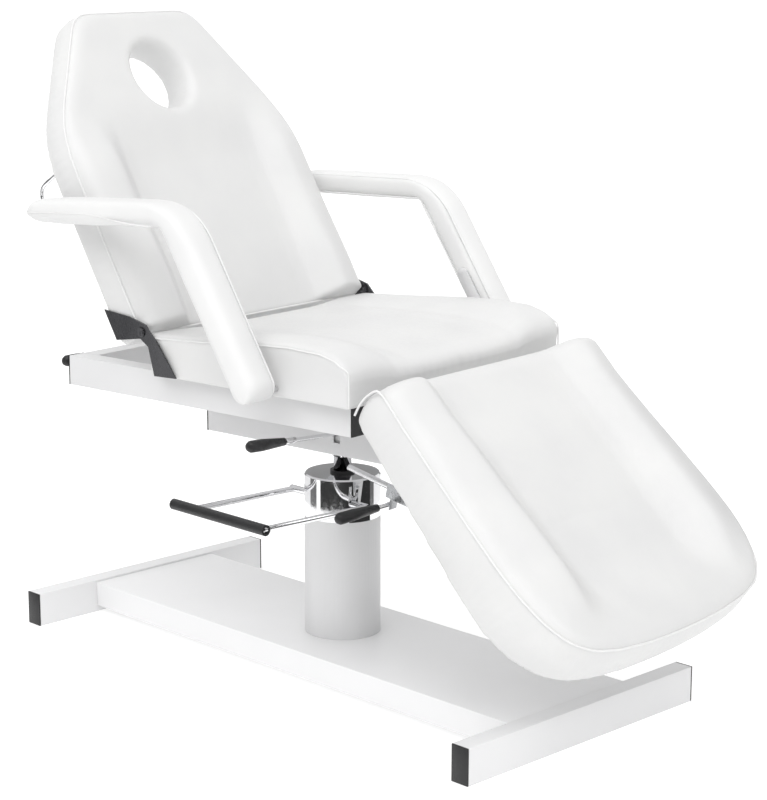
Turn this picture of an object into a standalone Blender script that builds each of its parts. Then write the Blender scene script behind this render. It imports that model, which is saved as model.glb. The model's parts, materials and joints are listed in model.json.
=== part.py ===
"""Hydraulic facial treatment bed: steel base, foot-pumped column, turning seat frame, tilting backrest and leg rest.

Metres, +Z up. The sitter faces -Y, so -X is the sitter's right, where the pedal and the levers are.
The floor is Z = 0, and the origin is under the middle of the whole bed as it stands here.
Angles are those of the rest pose. Each moving body hangs from an empty on its joint.
"""

import math
from math import cos, pi, radians, sin

import bmesh
import bpy
from mathutils import Matrix, Vector

# ---- driving dimensions ----
ORIGIN_SHIFT_Y = 0.0660     # from the pump's axis to the middle of the overall box
SWIVEL_AT_REST = radians(6.1)
GAP = 0.0003                # between pieces that touch

BASE_LENGTH = 1.292
BASE_WIDTH = 0.628
BASE_TUBE = (0.040, 0.070)
BASE_CAP = 0.0032
CHANNEL_HALF = 0.162
CHANNEL_Z = (0.0137, 0.0661)
SHEET = 0.003

PUMP_R = 0.0766
COVER_TOP = 0.3074
HEAD_TOP = 0.3942
PISTON_R = 0.018
PISTON_TOP = 0.428

PEDAL_AXIS = (-0.036, 0.0, 0.346)
PEDAL_ROD_R = 0.006
PEDAL_REACH = 0.267
PEDAL_RISE = 0.006
PEDAL_HALF_Y = 0.104
PEDAL_BAR_Y = (-0.108, 0.157)

HUB_HALF_X = 0.100
HUB_HALF_Y = 0.274
HUB_Z = (0.456, 0.554)
RAIL_X = (0.250, 0.290)
RAIL_Y = (-0.267, 0.474)
RAIL_Z = (0.5545, 0.6140)
PLUG = 0.002

SEAT_HALF_X = 0.325
SEAT_BOARD_Y = (-0.287, 0.190)
BOARD_Z = (0.6144, 0.6440)
SEAT_PROFILE = (
    (0.205, 0.686), (0.060, 0.700), (-0.080, 0.712), (-0.200, 0.718),
    (-0.255, 0.708), (-0.282, 0.690), (-0.293, 0.668),
)

BACK_PIVOT = (0.0, 0.222, 0.697)
BACK_ANGLE = radians(60)
BACK_START = 0.010
BACK_FACE = -0.004
BACK_THICK = 0.075
BACK_OUTLINE = (
    (0.325, 0.0), (0.325, 0.350), (0.320, 0.395), (0.307, 0.435),
    (0.285, 0.476), (0.178, 0.649), (0.162, 0.665), (0.138, 0.674),
)
FACE_HOLE_R = 0.073
FACE_HOLE_AT = 0.526

LEG_PIVOT = (0.0, -0.300, 0.615)
LEG_ANGLE = radians(42.5)
LEG_START = 0.0065
LEG_LENGTH = 0.625
LEG_FACE = 0.067
LEG_UNDER = -0.008
LEG_OUTLINE = (
    (0.325, 0.0), (0.340, 0.19), (0.348, 0.37), (0.346, 0.46),
    (0.332, 0.53), (0.300, 0.58), (0.245, 0.610), (0.150, 0.622), (0.060, 0.625),
)

ARM_PIVOT_Y = -0.117
ARM_PIVOT_Z = 0.630
ARM_X = (0.3475, 0.4225)
ARM_WIDTHS = (0.058, 0.054, 0.036)      # at the lower end, the elbow and the tip
ARM_BEND = 0.050
ARM_TIP_Y = 0.445
ARM_ELBOWS = {"right": (0.070, 0.942, 0.920), "left": (0.070, 0.922, 0.914)}

LOCK_ROD_R = 0.006
LEG_LOCK_X = -0.085
LEG_CLAMP = (-0.240, 0.400)
LEG_LUG = (0.3657, -0.045)
LEG_ROD_PAST = 0.1545
BACK_LOCK_X = 0.160
BACK_CLAMP = (0.150, 0.470)
BACK_LUG = (0.1464, -0.1300)
BACK_ROD_PAST = 0.050

LEVER_ROD_R = 0.0042
GRIP_R = (0.0115, 0.0075)

MATERIALS = {
    "white_paint": ((0.90, 0.90, 0.90), 0.35, 0.0),
    "chrome": ((0.80, 0.80, 0.82), 0.08, 1.0),
    "black_plastic": ((0.015, 0.015, 0.017), 0.45, 0.0),
    "rubber": ((0.02, 0.02, 0.022), 0.6, 0.0),
    "dark_steel": ((0.05, 0.05, 0.055), 0.4, 0.6),
    "zinc_steel": ((0.62, 0.63, 0.65), 0.35, 1.0),
    "plywood": ((0.62, 0.46, 0.29), 0.7, 0.0),
    "white_vinyl": ((0.93, 0.93, 0.92), 0.42, 0.0),
}


# ---- scene and helpers ----
def clear_scene():
    for thing in list(bpy.data.objects):
        bpy.data.objects.remove(thing)


def material(name):
    found = bpy.data.materials.get(name)
    if found:
        return found
    colour, roughness, metallic = MATERIALS[name]
    made = bpy.data.materials.new(name)
    made.use_nodes = True
    shader = made.node_tree.nodes["Principled BSDF"]
    shader.inputs["Base Color"].default_value = (*colour, 1)
    shader.inputs["Roughness"].default_value = roughness
    shader.inputs["Metallic"].default_value = metallic
    return made


def joint_frame(name, parent, location=(0, 0, 0), tilt=0.0, turn=0.0):
    """An empty on a joint, in its parent's axes. tilt is about X and turn about Z."""
    empty = bpy.data.objects.new(name, None)
    bpy.context.scene.collection.objects.link(empty)
    empty.parent = parent
    empty.location = location
    empty.rotation_euler = (tilt, 0, turn)
    return empty


def add(name, bm, frame, slot):
    """Turns a bmesh, in the frame's axes, into an object."""
    bmesh.ops.recalc_face_normals(bm, faces=bm.faces)
    mesh = bpy.data.meshes.new(name)
    bm.to_mesh(mesh)
    bm.free()
    thing = bpy.data.objects.new(name, mesh)
    bpy.context.scene.collection.objects.link(thing)
    thing.parent = frame
    mesh.materials.append(material(slot))
    mesh.shade_smooth()
    mesh.set_sharp_from_angle(angle=radians(35))
    return thing


def axes_of(axis):
    """Puts a shape that was drawn in a plane and extruded along its normal in place.

    axis X takes drawn (u, v, w) to (w, u, v), axis Y to (u, w, v) and axis Z to (u, v, w).
    """
    columns = {"X": ((0, 1, 0), (0, 0, 1), (1, 0, 0)), "Y": ((1, 0, 0), (0, 0, 1), (0, 1, 0))}
    if axis == "Z":
        return Matrix.Identity(3)
    return Matrix(columns[axis]).transposed()


def prism(outline, axis, low, high):
    """A closed prism of an outline, from low to high along the axis."""
    bm = bmesh.new()
    rings = []
    for w in (low, high):
        rings.append([bm.verts.new((u, v, w)) for u, v in outline])
    bm.faces.new(rings[0][::-1])
    bm.faces.new(rings[1])
    for i in range(len(outline)):
        j = (i + 1) % len(outline)
        bm.faces.new((rings[0][i], rings[0][j], rings[1][j], rings[1][i]))
    bm.transform(axes_of(axis).to_4x4())
    return bm


def rectangle(u, v):
    return [(u[0], v[0]), (u[1], v[0]), (u[1], v[1]), (u[0], v[1])]


def box(x, y, z):
    return prism(rectangle(x, y), "Z", *z)


def circle(radius, centre=(0, 0), count=32, start=0.0, sweep=2 * pi):
    """Points of a circle, or of an arc that keeps both ends."""
    steps = count if sweep == 2 * pi else count - 1
    turns = [start + sweep * i / steps for i in range(count)]
    return [(centre[0] + radius * cos(a), centre[1] + radius * sin(a)) for a in turns]


def square_tube(u, v, wall, axis, low, high):
    """An open-ended rectangular tube."""
    bm = bmesh.new()
    inner_u = (u[0] + wall, u[1] - wall)
    inner_v = (v[0] + wall, v[1] - wall)
    rings = []
    for outline in (rectangle(u, v), rectangle(inner_u, inner_v)):
        for w in (low, high):
            rings.append([bm.verts.new((p[0], p[1], w)) for p in outline])
    outer_low, outer_high, inner_low, inner_high = rings
    for i in range(4):
        j = (i + 1) % 4
        bm.faces.new((outer_low[i], outer_low[j], outer_high[j], outer_high[i]))
        bm.faces.new((inner_low[j], inner_low[i], inner_high[i], inner_high[j]))
        bm.faces.new((outer_low[j], outer_low[i], inner_low[i], inner_low[j]))
        bm.faces.new((outer_high[i], outer_high[j], inner_high[j], inner_high[i]))
    bm.transform(axes_of(axis).to_4x4())
    return bm


def turned(profile, start=(0, 0, 0), direction=(0, 0, 1), count=32):
    """Turns a closed (radius, height) profile about a line. A radius of 0 lies on the line."""
    bm = bmesh.new()
    rings = []
    for radius, height in profile:
        if radius < 1e-9:
            rings.append([bm.verts.new((0, 0, height))] * count)
        else:
            rings.append([bm.verts.new((x, y, height)) for x, y in circle(radius, count=count)])
    for k in range(len(rings)):
        lower = rings[k]
        upper = rings[(k + 1) % len(rings)]
        for i in range(count):
            j = (i + 1) % count
            corners = []
            for vertex in (lower[i], lower[j], upper[j], upper[i]):
                if vertex not in corners:
                    corners.append(vertex)
            if len(corners) > 2:
                bm.faces.new(corners)
    turn = Vector((0, 0, 1)).rotation_difference(Vector(direction)).to_matrix().to_4x4()
    bm.transform(Matrix.Translation(start) @ turn)
    return bm


def rod(start, end, radius, count=20):
    along = Vector(end) - Vector(start)
    profile = ((0, 0), (radius, 0), (radius, along.length), (0, along.length))
    return turned(profile, start, along.normalized(), count)


def pipe(start, end, inner, outer, count=32):
    along = Vector(end) - Vector(start)
    length = along.length
    profile = ((inner, 0), (outer, 0), (outer, length), (inner, length))
    return turned(profile, start, along.normalized(), count)


def boolean(thing, tool_mesh, operation="DIFFERENCE"):
    """Cuts a bmesh from an object, or joins it to the object."""
    tool = add(f"{thing.name}.tool{len(thing.modifiers)}", tool_mesh, thing.parent, "zinc_steel")
    tool.hide_render = True
    tool.display_type = "WIRE"
    modifier = thing.modifiers.new("cut" if operation == "DIFFERENCE" else "join", "BOOLEAN")
    modifier.operation = operation
    modifier.solver = "EXACT"
    modifier.object = tool


def soften(thing, width, segments=2, angle=35):
    modifier = thing.modifiers.new("edges", "BEVEL")
    modifier.width = width
    modifier.segments = segments
    modifier.limit_method = "ANGLE"
    modifier.angle_limit = radians(angle)


def bent_rod(name, points, corner, radius, frame, slot):
    """A round rod along a path whose corners are rounded to the corner radius."""
    path = [Vector(points[0])]
    for before, here, after in zip(points, points[1:], points[2:]):
        back = (Vector(before) - Vector(here)).normalized()
        on = (Vector(after) - Vector(here)).normalized()
        half = back.angle(on) / 2
        reach = corner / math.tan(half)
        for i in range(7):
            t = i / 6
            start = Vector(here) + back * reach
            end = Vector(here) + on * reach
            path.append(start.lerp(Vector(here), t).lerp(Vector(here).lerp(end, t), t))
    path.append(Vector(points[-1]))
    curve = bpy.data.curves.new(name, "CURVE")
    curve.dimensions = "3D"
    curve.bevel_depth = radius
    curve.bevel_resolution = 3
    curve.use_fill_caps = True
    spline = curve.splines.new("POLY")
    spline.points.add(len(path) - 1)
    for point, place in zip(spline.points, path):
        point.co = (*place, 1)
    curve.materials.append(material(slot))
    thing = bpy.data.objects.new(name, curve)
    bpy.context.scene.collection.objects.link(thing)
    thing.parent = frame
    return thing


def mirrored(points):
    """The outline of half-widths and lengths, closed over its mirror image."""
    return [(x, y) for x, y in points] + [(-x, y) for x, y in reversed(points)]


# ---- base, pump and pedal ----
def build_base(base):
    width, height = BASE_TUBE
    half_x = BASE_WIDTH / 2 - BASE_CAP
    for place, side in (("front", -1), ("rear", 1)):
        outer = side * BASE_LENGTH / 2
        y = sorted((outer, outer - side * width))
        tube = square_tube(y, (0, height), 0.0025, "X", -half_x, half_x)
        add(f"base_{place}_tube", tube, base, "white_paint")
        for hand, turn in (("right", -1), ("left", 1)):
            x = sorted((turn * (half_x + GAP), turn * BASE_WIDTH / 2))
            plug = box(x, y, (0, height))
            soften(add(f"base_cap_{place}_{hand}", plug, base, "black_plastic"), 0.0012, 2)
    end = BASE_LENGTH / 2 - width - GAP
    low, top = CHANNEL_Z
    inner = CHANNEL_HALF - SHEET
    channel = [
        (-CHANNEL_HALF, low), (-inner, low), (-inner, top - SHEET), (inner, top - SHEET),
        (inner, low), (CHANNEL_HALF, low), (CHANNEL_HALF, top), (-CHANNEL_HALF, top),
    ]
    add("base_channel", prism(channel, "Y", -end, end), base, "white_paint")


def build_pump(base):
    foot = CHANNEL_Z[1] + GAP
    bore = PISTON_R + 0.0005
    shell = 0.0262
    profile = (
        (0, foot), (0.0735, foot), (0.0735, foot + 0.008), (shell, foot + 0.008),
        (shell, 0.386), (bore, 0.386), (bore, foot + 0.008), (0, foot + 0.008),
    )
    add("pump_cylinder", turned(profile, count=40), base, "zinc_steel")
    cover = pipe((0, 0, foot), (0, 0, COVER_TOP), PUMP_R - 0.002, PUMP_R, 64)
    add("pedestal_cover", cover, base, "white_paint")
    wall = 0.004
    bottom = COVER_TOP + GAP
    edge = 0.003
    profile = (
        (PUMP_R - wall, bottom), (PUMP_R, bottom), (PUMP_R, HEAD_TOP - edge), (PUMP_R - edge, HEAD_TOP),
        (0.0250, HEAD_TOP), (0.0250, HEAD_TOP - wall), (PUMP_R - wall, HEAD_TOP - wall),
    )
    head = add("pump_head", turned(profile, count=64), base, "chrome")
    x, _, z = PEDAL_AXIS
    boolean(head, rod((x, -0.09, z), (x, 0.09, z), 0.0083))
    seal = pipe((0, 0, HEAD_TOP - wall), (0, 0, HEAD_TOP + 0.005), PISTON_R + 0.0004, 0.0247)
    add("rod_seal", seal, base, "rubber")


def build_pedal(pedal):
    """The shaft rocks in the pump head. Two rods and a cross bar are welded on, under a rubber sleeve."""
    frame = add("pedal_frame", rod((0, -0.1115, 0), (0, 0.1115, 0), 0.0075), pedal, "chrome")
    bar_x = -PEDAL_REACH
    for y in (-PEDAL_HALF_Y, PEDAL_HALF_Y):
        boolean(frame, rod((0, y, 0), (bar_x, y, PEDAL_RISE), PEDAL_ROD_R), "UNION")
    start, end = ((bar_x, y, PEDAL_RISE) for y in PEDAL_BAR_Y)
    boolean(frame, rod(start, end, PEDAL_ROD_R + 0.0004), "UNION")
    outer = PEDAL_BAR_Y[0] - 0.004, PEDAL_BAR_Y[1] + 0.004
    start, end = ((bar_x, y, PEDAL_RISE) for y in outer)
    sleeve = add("pedal_grip", pipe(start, end, PEDAL_ROD_R + 0.0008, 0.0108, 24), pedal, "rubber")
    for y in (-PEDAL_HALF_Y, PEDAL_HALF_Y):
        boolean(sleeve, rod((bar_x + 0.001, y, PEDAL_RISE), (bar_x + 0.03, y, 0.0055), PEDAL_ROD_R + 0.0004))


def build_piston(lift):
    spigot = PISTON_R - 0.006
    collar = 0.021
    rest = HUB_Z[0] - GAP
    profile = (
        (0, 0.10), (PISTON_R, 0.10), (PISTON_R, PISTON_TOP), (collar, PISTON_TOP), (collar, rest),
        (spigot, rest), (spigot, 0.545), (0, 0.545),
    )
    add("piston", turned(profile, count=40), lift, "chrome")


# ---- seat frame ----
def build_frame(seat):
    hub = square_tube((-HUB_HALF_X, HUB_HALF_X), HUB_Z, SHEET, "Y", -HUB_HALF_Y, HUB_HALF_Y)
    hub = add("hub_box", hub, seat, "white_paint")
    boolean(hub, rod((0, 0, HUB_Z[0] - 0.01), (0, 0, HUB_Z[0] + 0.01), 0.014))
    boolean(hub, box((-HUB_HALF_X - 0.01, -HUB_HALF_X + 0.01), (-0.078, -0.062), (0.481, 0.510)))
    for place, side in (("front", -1), ("rear", 1)):
        y = sorted((side * (HUB_HALF_Y + GAP), side * (HUB_HALF_Y + GAP + PLUG)))
        plug = box((-HUB_HALF_X, HUB_HALF_X), y, HUB_Z)
        add(f"hub_cap_{place}", plug, seat, "black_plastic")
    for hand, turn in (("right", -1), ("left", 1)):
        x = sorted(turn * edge for edge in RAIL_X)
        rail = square_tube(x, RAIL_Z, 0.002, "Y", *RAIL_Y)
        add(f"rail_{hand}", rail, seat, "white_paint")
        for place, end, side in (("front", RAIL_Y[0], -1), ("rear", RAIL_Y[1], 1)):
            y = sorted((end + side * GAP, end + side * (GAP + PLUG)))
            add(f"rail_cap_{place}_{hand}", box(x, y, RAIL_Z), seat, "black_plastic")
    reach = RAIL_X[0] - GAP
    for place, y in (("middle", 0.100), ("rear", 0.452)):
        member = square_tube((y - 0.02, y + 0.02), RAIL_Z, 0.002, "X", -reach, reach)
        member = add(f"cross_member_{place}", member, seat, "white_paint")
        if place == "rear":
            boolean(member, box((-0.038, -0.022), (y + 0.0195, 0.506), (0.570, 0.590)), "UNION")
    board = box((-SEAT_HALF_X, SEAT_HALF_X), SEAT_BOARD_Y, BOARD_Z)
    board = add("seat_board", board, seat, "plywood")
    for turn in (-1, 1):
        start, end = ((turn * x, ARM_PIVOT_Y, ARM_PIVOT_Z) for x in (0.295, 0.335))
        boolean(board, rod(start, end, 0.0064, 24))
    floor = BOARD_Z[1] + GAP
    side = [(SEAT_PROFILE[-1][0], floor), (SEAT_PROFILE[0][0], floor)] + list(SEAT_PROFILE)
    cushion = prism(side, "X", -SEAT_HALF_X, SEAT_HALF_X)
    soften(add("seat_cushion", cushion, seat, "white_vinyl"), 0.010, 3, 50)


def build_back_hinges(seat, back):
    """Two dog-leg plates on the seat and two plates on the backrest, with a bolt through each pair."""
    seat_plate = [
        (0.250, 0.7215), (0.212, 0.7115), (0.180, 0.678), (0.133, 0.617),
        (0.190, 0.615), (0.205, 0.670), (0.236, 0.690),
    ]
    back_plate = [
        (0.0, 0.013), (0.012, 0.010), (0.0412, -0.0212), (0.081, -0.0766),
        (0.0154, -0.0765), (-0.0117, -0.006), (-0.010, 0.008),
    ]
    y, z = BACK_PIVOT[1:]
    for hand, turn in (("right", -1), ("left", 1)):
        x = sorted((turn * 0.3288, turn * 0.3328))
        plate = add(f"seat_hinge_plate_{hand}", prism(seat_plate, "X", *x), seat, "dark_steel")
        boolean(plate, rod((turn * 0.32, y, z), (turn * 0.34, y, z), 0.0063))
        x = sorted((turn * 0.3254, turn * 0.3284))
        plate = add(f"back_hinge_plate_{hand}", prism(back_plate, "X", *x), back, "dark_steel")
        boolean(plate, rod((turn * 0.32, 0, 0), (turn * 0.34, 0, 0), 0.0063))
        profile = ((0, 0), (0.006, 0), (0.006, 0.0078), (0.0095, 0.0078), (0.0085, 0.0115), (0, 0.0115))
        bolt = turned(profile, (turn * 0.3254, y, z), (turn, 0, 0), 20)
        add(f"back_pivot_bolt_{hand}", bolt, seat, "zinc_steel")


def build_leg_hinges(seat, leg):
    """A strap with a pin, under the seat board, carries a leaf that is fixed under the leg rest."""
    y, z = LEG_PIVOT[1:]
    boss = 0.0072
    strap = [(-0.2203, 0.6050), (-0.2203, 0.6120), (-0.284, 0.6120)]
    strap += circle(boss, (y, z), 9, radians(60), radians(240))
    strap += [(-0.284, 0.6050)]
    leaf = circle(boss, (0, 0), 9, radians(20), radians(160))
    leaf = [(-u, v) for u, v in leaf]
    leaf += [(boss, -0.004), (0.002, -0.0130), (-0.090, -0.0165), (-0.090, -0.0140), (-0.0085, -0.0100)]
    leaf += [(-0.0080, -0.0040)]
    leaf = leaf[::-1]
    for hand, turn in (("right", -1), ("left", 1)):
        x = sorted((turn * 0.180, turn * 0.198))
        part = add(f"leg_hinge_strap_{hand}", prism(strap, "X", *x), seat, "zinc_steel")
        boolean(part, rod((turn * 0.178, y, z), (turn * 0.2185, y, z), 0.003, 16), "UNION")
        x = sorted((turn * 0.1985, turn * 0.2165))
        part = add(f"leg_hinge_leaf_{hand}", prism(leaf, "X", *x), leg, "zinc_steel")
        boolean(part, rod((turn * 0.19, 0, 0), (turn * 0.225, 0, 0), 0.0033, 16))


# ---- backrest and leg rest: drawn flat, with the hinge at the origin ----
def build_back(back):
    outline = mirrored([(x, y + BACK_START) for x, y in BACK_OUTLINE])
    inset = 0.004
    board_outline = mirrored([(x - inset, y + BACK_START) for x, y in BACK_OUTLINE[:-1]])
    under = BACK_FACE - BACK_THICK
    board_top = under + 0.020
    board = add("back_board", prism(board_outline, "Z", under, board_top), back, "plywood")
    cushion = add("back_cushion", prism(outline, "Z", board_top + GAP, BACK_FACE), back, "white_vinyl")
    hole_y = BACK_START + FACE_HOLE_AT
    for thing, radius in ((board, FACE_HOLE_R + 0.002), (cushion, FACE_HOLE_R)):
        boolean(thing, rod((0, hole_y, -0.2), (0, hole_y, 0.2), radius, 40))
    y, z = BACK_LUG
    add("back_lock_lug", lug_mesh(BACK_LOCK_X, y, under - GAP, z - 0.012), back, "zinc_steel")
    x = 0.300
    top = BACK_START + 0.366
    cross = BACK_START + 0.298
    depth = under - 0.073
    half = [(-x, top, under - 0.002), (-x, top - 0.004, depth), (-x, cross, depth)]
    path = half + [(-px, y, z) for px, y, z in reversed(half)]
    bent_rod("roll_holder", path, 0.031, 0.0042, back, "chrome")


def build_leg(leg):
    outline = mirrored([(x, -y - LEG_START) for x, y in LEG_OUTLINE])
    board_outline = mirrored([(x - 0.004, -(y * 0.99) - LEG_START - 0.0025) for x, y in LEG_OUTLINE])
    board_top = LEG_UNDER + 0.020
    under = LEG_UNDER - 0.020
    board = add("leg_board", prism(board_outline, "Z", under, board_top), leg, "plywood")
    wedge = [(0.02, -0.06), (0.02, LEG_UNDER), (-0.0085, LEG_UNDER), (-0.40, under - 0.0005), (-0.40, -0.06)]
    boolean(board, prism(wedge, "X", -0.4, 0.4))
    cushion = prism(outline, "Z", board_top + GAP, LEG_FACE)
    soften(add("leg_cushion", cushion, leg, "white_vinyl"), 0.008, 2, 50)
    reach, drop = LEG_LUG
    lug = lug_mesh(LEG_LOCK_X, -reach, under - GAP, drop - 0.012)
    add("leg_lock_lug", lug, leg, "zinc_steel")


def lug_mesh(x, y, top, low):
    """A folded lug: a plate on the board with a cheek down each side of the lock rod's end."""
    inner = 0.0075
    outer = inner + SHEET
    flange = outer + 0.012
    u = [(-flange, top - SHEET), (-flange, top), (flange, top), (flange, top - SHEET)]
    u += [(outer, top - SHEET), (outer, low), (inner, low), (inner, top - SHEET)]
    u += [(-inner, top - SHEET), (-inner, low), (-outer, low), (-outer, top - SHEET)]
    shape = prism(u, "Y", y - 0.014, y + 0.014)
    shape.transform(Matrix.Translation((x, 0, 0)))
    return shape


# ---- armrests ----
def bent_bar(points, widths, reach, count=9):
    """The outline of a flat bar along three points, with a curved elbow, round ends and a changing width."""
    first, elbow, last = (Vector(p) for p in points)
    into = (elbow - first).normalized()
    out = (last - elbow).normalized()
    start = elbow - into * reach
    finish = elbow + out * reach
    path = [(first, into, widths[0])]
    for i in range(count):
        t = i / (count - 1)
        place = start.lerp(elbow, t).lerp(elbow.lerp(finish, t), t)
        path.append((place, into.lerp(out, t).normalized(), widths[1]))
    path.append((last, out, widths[2]))
    sides = []
    for turn in (1, -1):
        side = [place + turn * width / 2 * Vector((-way.y, way.x)) for place, way, width in path]
        sides.append([(p.x, p.y) for p in side])
    round_end = circle(widths[2] / 2, last, count, math.atan2(out.y, out.x) - pi / 2, pi)
    round_start = circle(widths[0] / 2, first, count, math.atan2(into.y, into.x) + pi / 2, pi)
    return sides[1][1:-1] + round_end + sides[0][1:-1][::-1] + round_start


def build_arm(hand, turn, arm):
    elbow_y, elbow_z, tip_z = ARM_ELBOWS[hand]
    path = (
        (0.004, 0.013), (elbow_y - ARM_PIVOT_Y, elbow_z - ARM_PIVOT_Z),
        (ARM_TIP_Y - ARM_PIVOT_Y - ARM_WIDTHS[2] / 2, tip_z - ARM_PIVOT_Z),
    )
    x = sorted((turn * ARM_X[0], turn * ARM_X[1]))
    pad = add(f"arm_pad_{hand}", prism(bent_bar(path, ARM_WIDTHS, ARM_BEND), "X", *x), arm, "white_vinyl")
    soften(pad, 0.010, 3, 60)
    slope = (Vector(path[1]) - Vector(path[0])).normalized()
    end = slope * 0.150
    plate = bent_bar(((0.0, 0.0), end * 0.5, end), (0.026, 0.026, 0.026), 0.01, 7)
    x = sorted((turn * 0.3430, turn * 0.3470))
    plate = add(f"arm_bracket_{hand}", prism(plate, "X", *x), arm, "zinc_steel")
    boolean(plate, rod((turn * 0.300, 0, 0), (turn * 0.345, 0, 0), 0.006), "UNION")


# ---- locks and levers ----
def clamp_mesh(x, low, high):
    """A channel, open at the top, that runs along the lock rod. The rod's axis is at Z = 0 here."""
    inner = 0.0078
    outer = inner + SHEET
    floor = -0.0150
    u = [(-outer, floor - SHEET), (outer, floor - SHEET), (outer, 0.010), (inner, 0.010)]
    u += [(inner, floor), (-inner, floor), (-inner, 0.010), (-outer, 0.010)]
    shape = prism(u, "Y", low, high)
    shape.transform(Matrix.Translation((x, 0, 0)))
    return shape


def build_leg_lock(seat, leg, clamp_frame, rod_frame, rod_length):
    y, z = LEG_CLAMP
    inner = 0.0112
    outer = inner + SHEET
    top = HUB_Z[0] - GAP
    u = [(-outer, z - 0.014), (-inner, z - 0.014), (-inner, top - SHEET), (inner, top - SHEET)]
    u += [(inner, z - 0.014), (outer, z - 0.014), (outer, top), (-outer, top)]
    bracket = prism(u, "Y", y - 0.014, y + 0.014)
    bracket.transform(Matrix.Translation((LEG_LOCK_X, 0, 0)))
    add("leg_lock_bracket", bracket, seat, "zinc_steel")
    clamp = add("leg_lock_clamp", clamp_mesh(0, -0.040, 0.048), clamp_frame, "zinc_steel")
    tongue = box((-0.0105, 0.0105), (0.0330, 0.0355), (-0.040, -0.0165))
    boolean(clamp, tongue, "UNION")
    add("leg_lock_rod", rod((0, 0, 0), (0, rod_length, 0), LOCK_ROD_R), rod_frame, "chrome")


def build_back_lock(seat, clamp_frame, rod_frame, rod_length):
    y, z = BACK_CLAMP
    start = HUB_HALF_X + GAP
    length = BACK_LOCK_X - 0.0112 - start
    profile = ((0, 0), (0.013, 0), (0.013, 0.003), (0.006, 0.006), (0.006, length), (0, length))
    bracket = turned(profile, (start, y, z), (1, 0, 0), 24)
    add("back_lock_bracket", bracket, seat, "zinc_steel")
    add("back_lock_clamp", clamp_mesh(0, -0.035, 0.035), clamp_frame, "zinc_steel")
    add("back_lock_rod", rod((0, 0, 0), (0, -rod_length, 0), LOCK_ROD_R), rod_frame, "chrome")


def build_lever(name, frame, reach, rise, grip_length, neck=0.0):
    """A chrome rod from the pivot to a tapered grip. reach is the way to the grip's far end, along -X."""
    end = Vector((-reach, 0, rise))
    along = end.normalized()
    length = end.length
    grip_start = length - grip_length
    profile = (
        (0, -0.006), (LEVER_ROD_R + 0.001, -0.006), (LEVER_ROD_R + 0.001, 0.006), (LEVER_ROD_R, 0.008),
        (LEVER_ROD_R, grip_start - GAP), (0, grip_start - GAP),
    )
    if neck:
        profile = profile[:4] + (
            (LEVER_ROD_R, grip_start - neck), (0.006, grip_start - neck + 0.004),
            (0.006, grip_start - GAP), (0, grip_start - GAP),
        )
    add(f"{name}_rod", turned(profile, (0, 0, 0), along, 16), frame, "chrome")
    wide, slim = GRIP_R
    profile = [(0, grip_start), (slim, grip_start), (slim + 0.001, grip_start + 0.15 * grip_length)]
    profile += [(wide, grip_start + 0.60 * grip_length), (wide, length - 0.008)]
    profile += [(wide - 0.003, length - 0.002), (0, length)]
    add(f"{name}_grip", turned(profile, (0, 0, 0), along, 20), frame, "rubber")


# ---- assembly ----
def turned_by(angle, u, v):
    return u * cos(angle) - v * sin(angle), u * sin(angle) + v * cos(angle)


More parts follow.
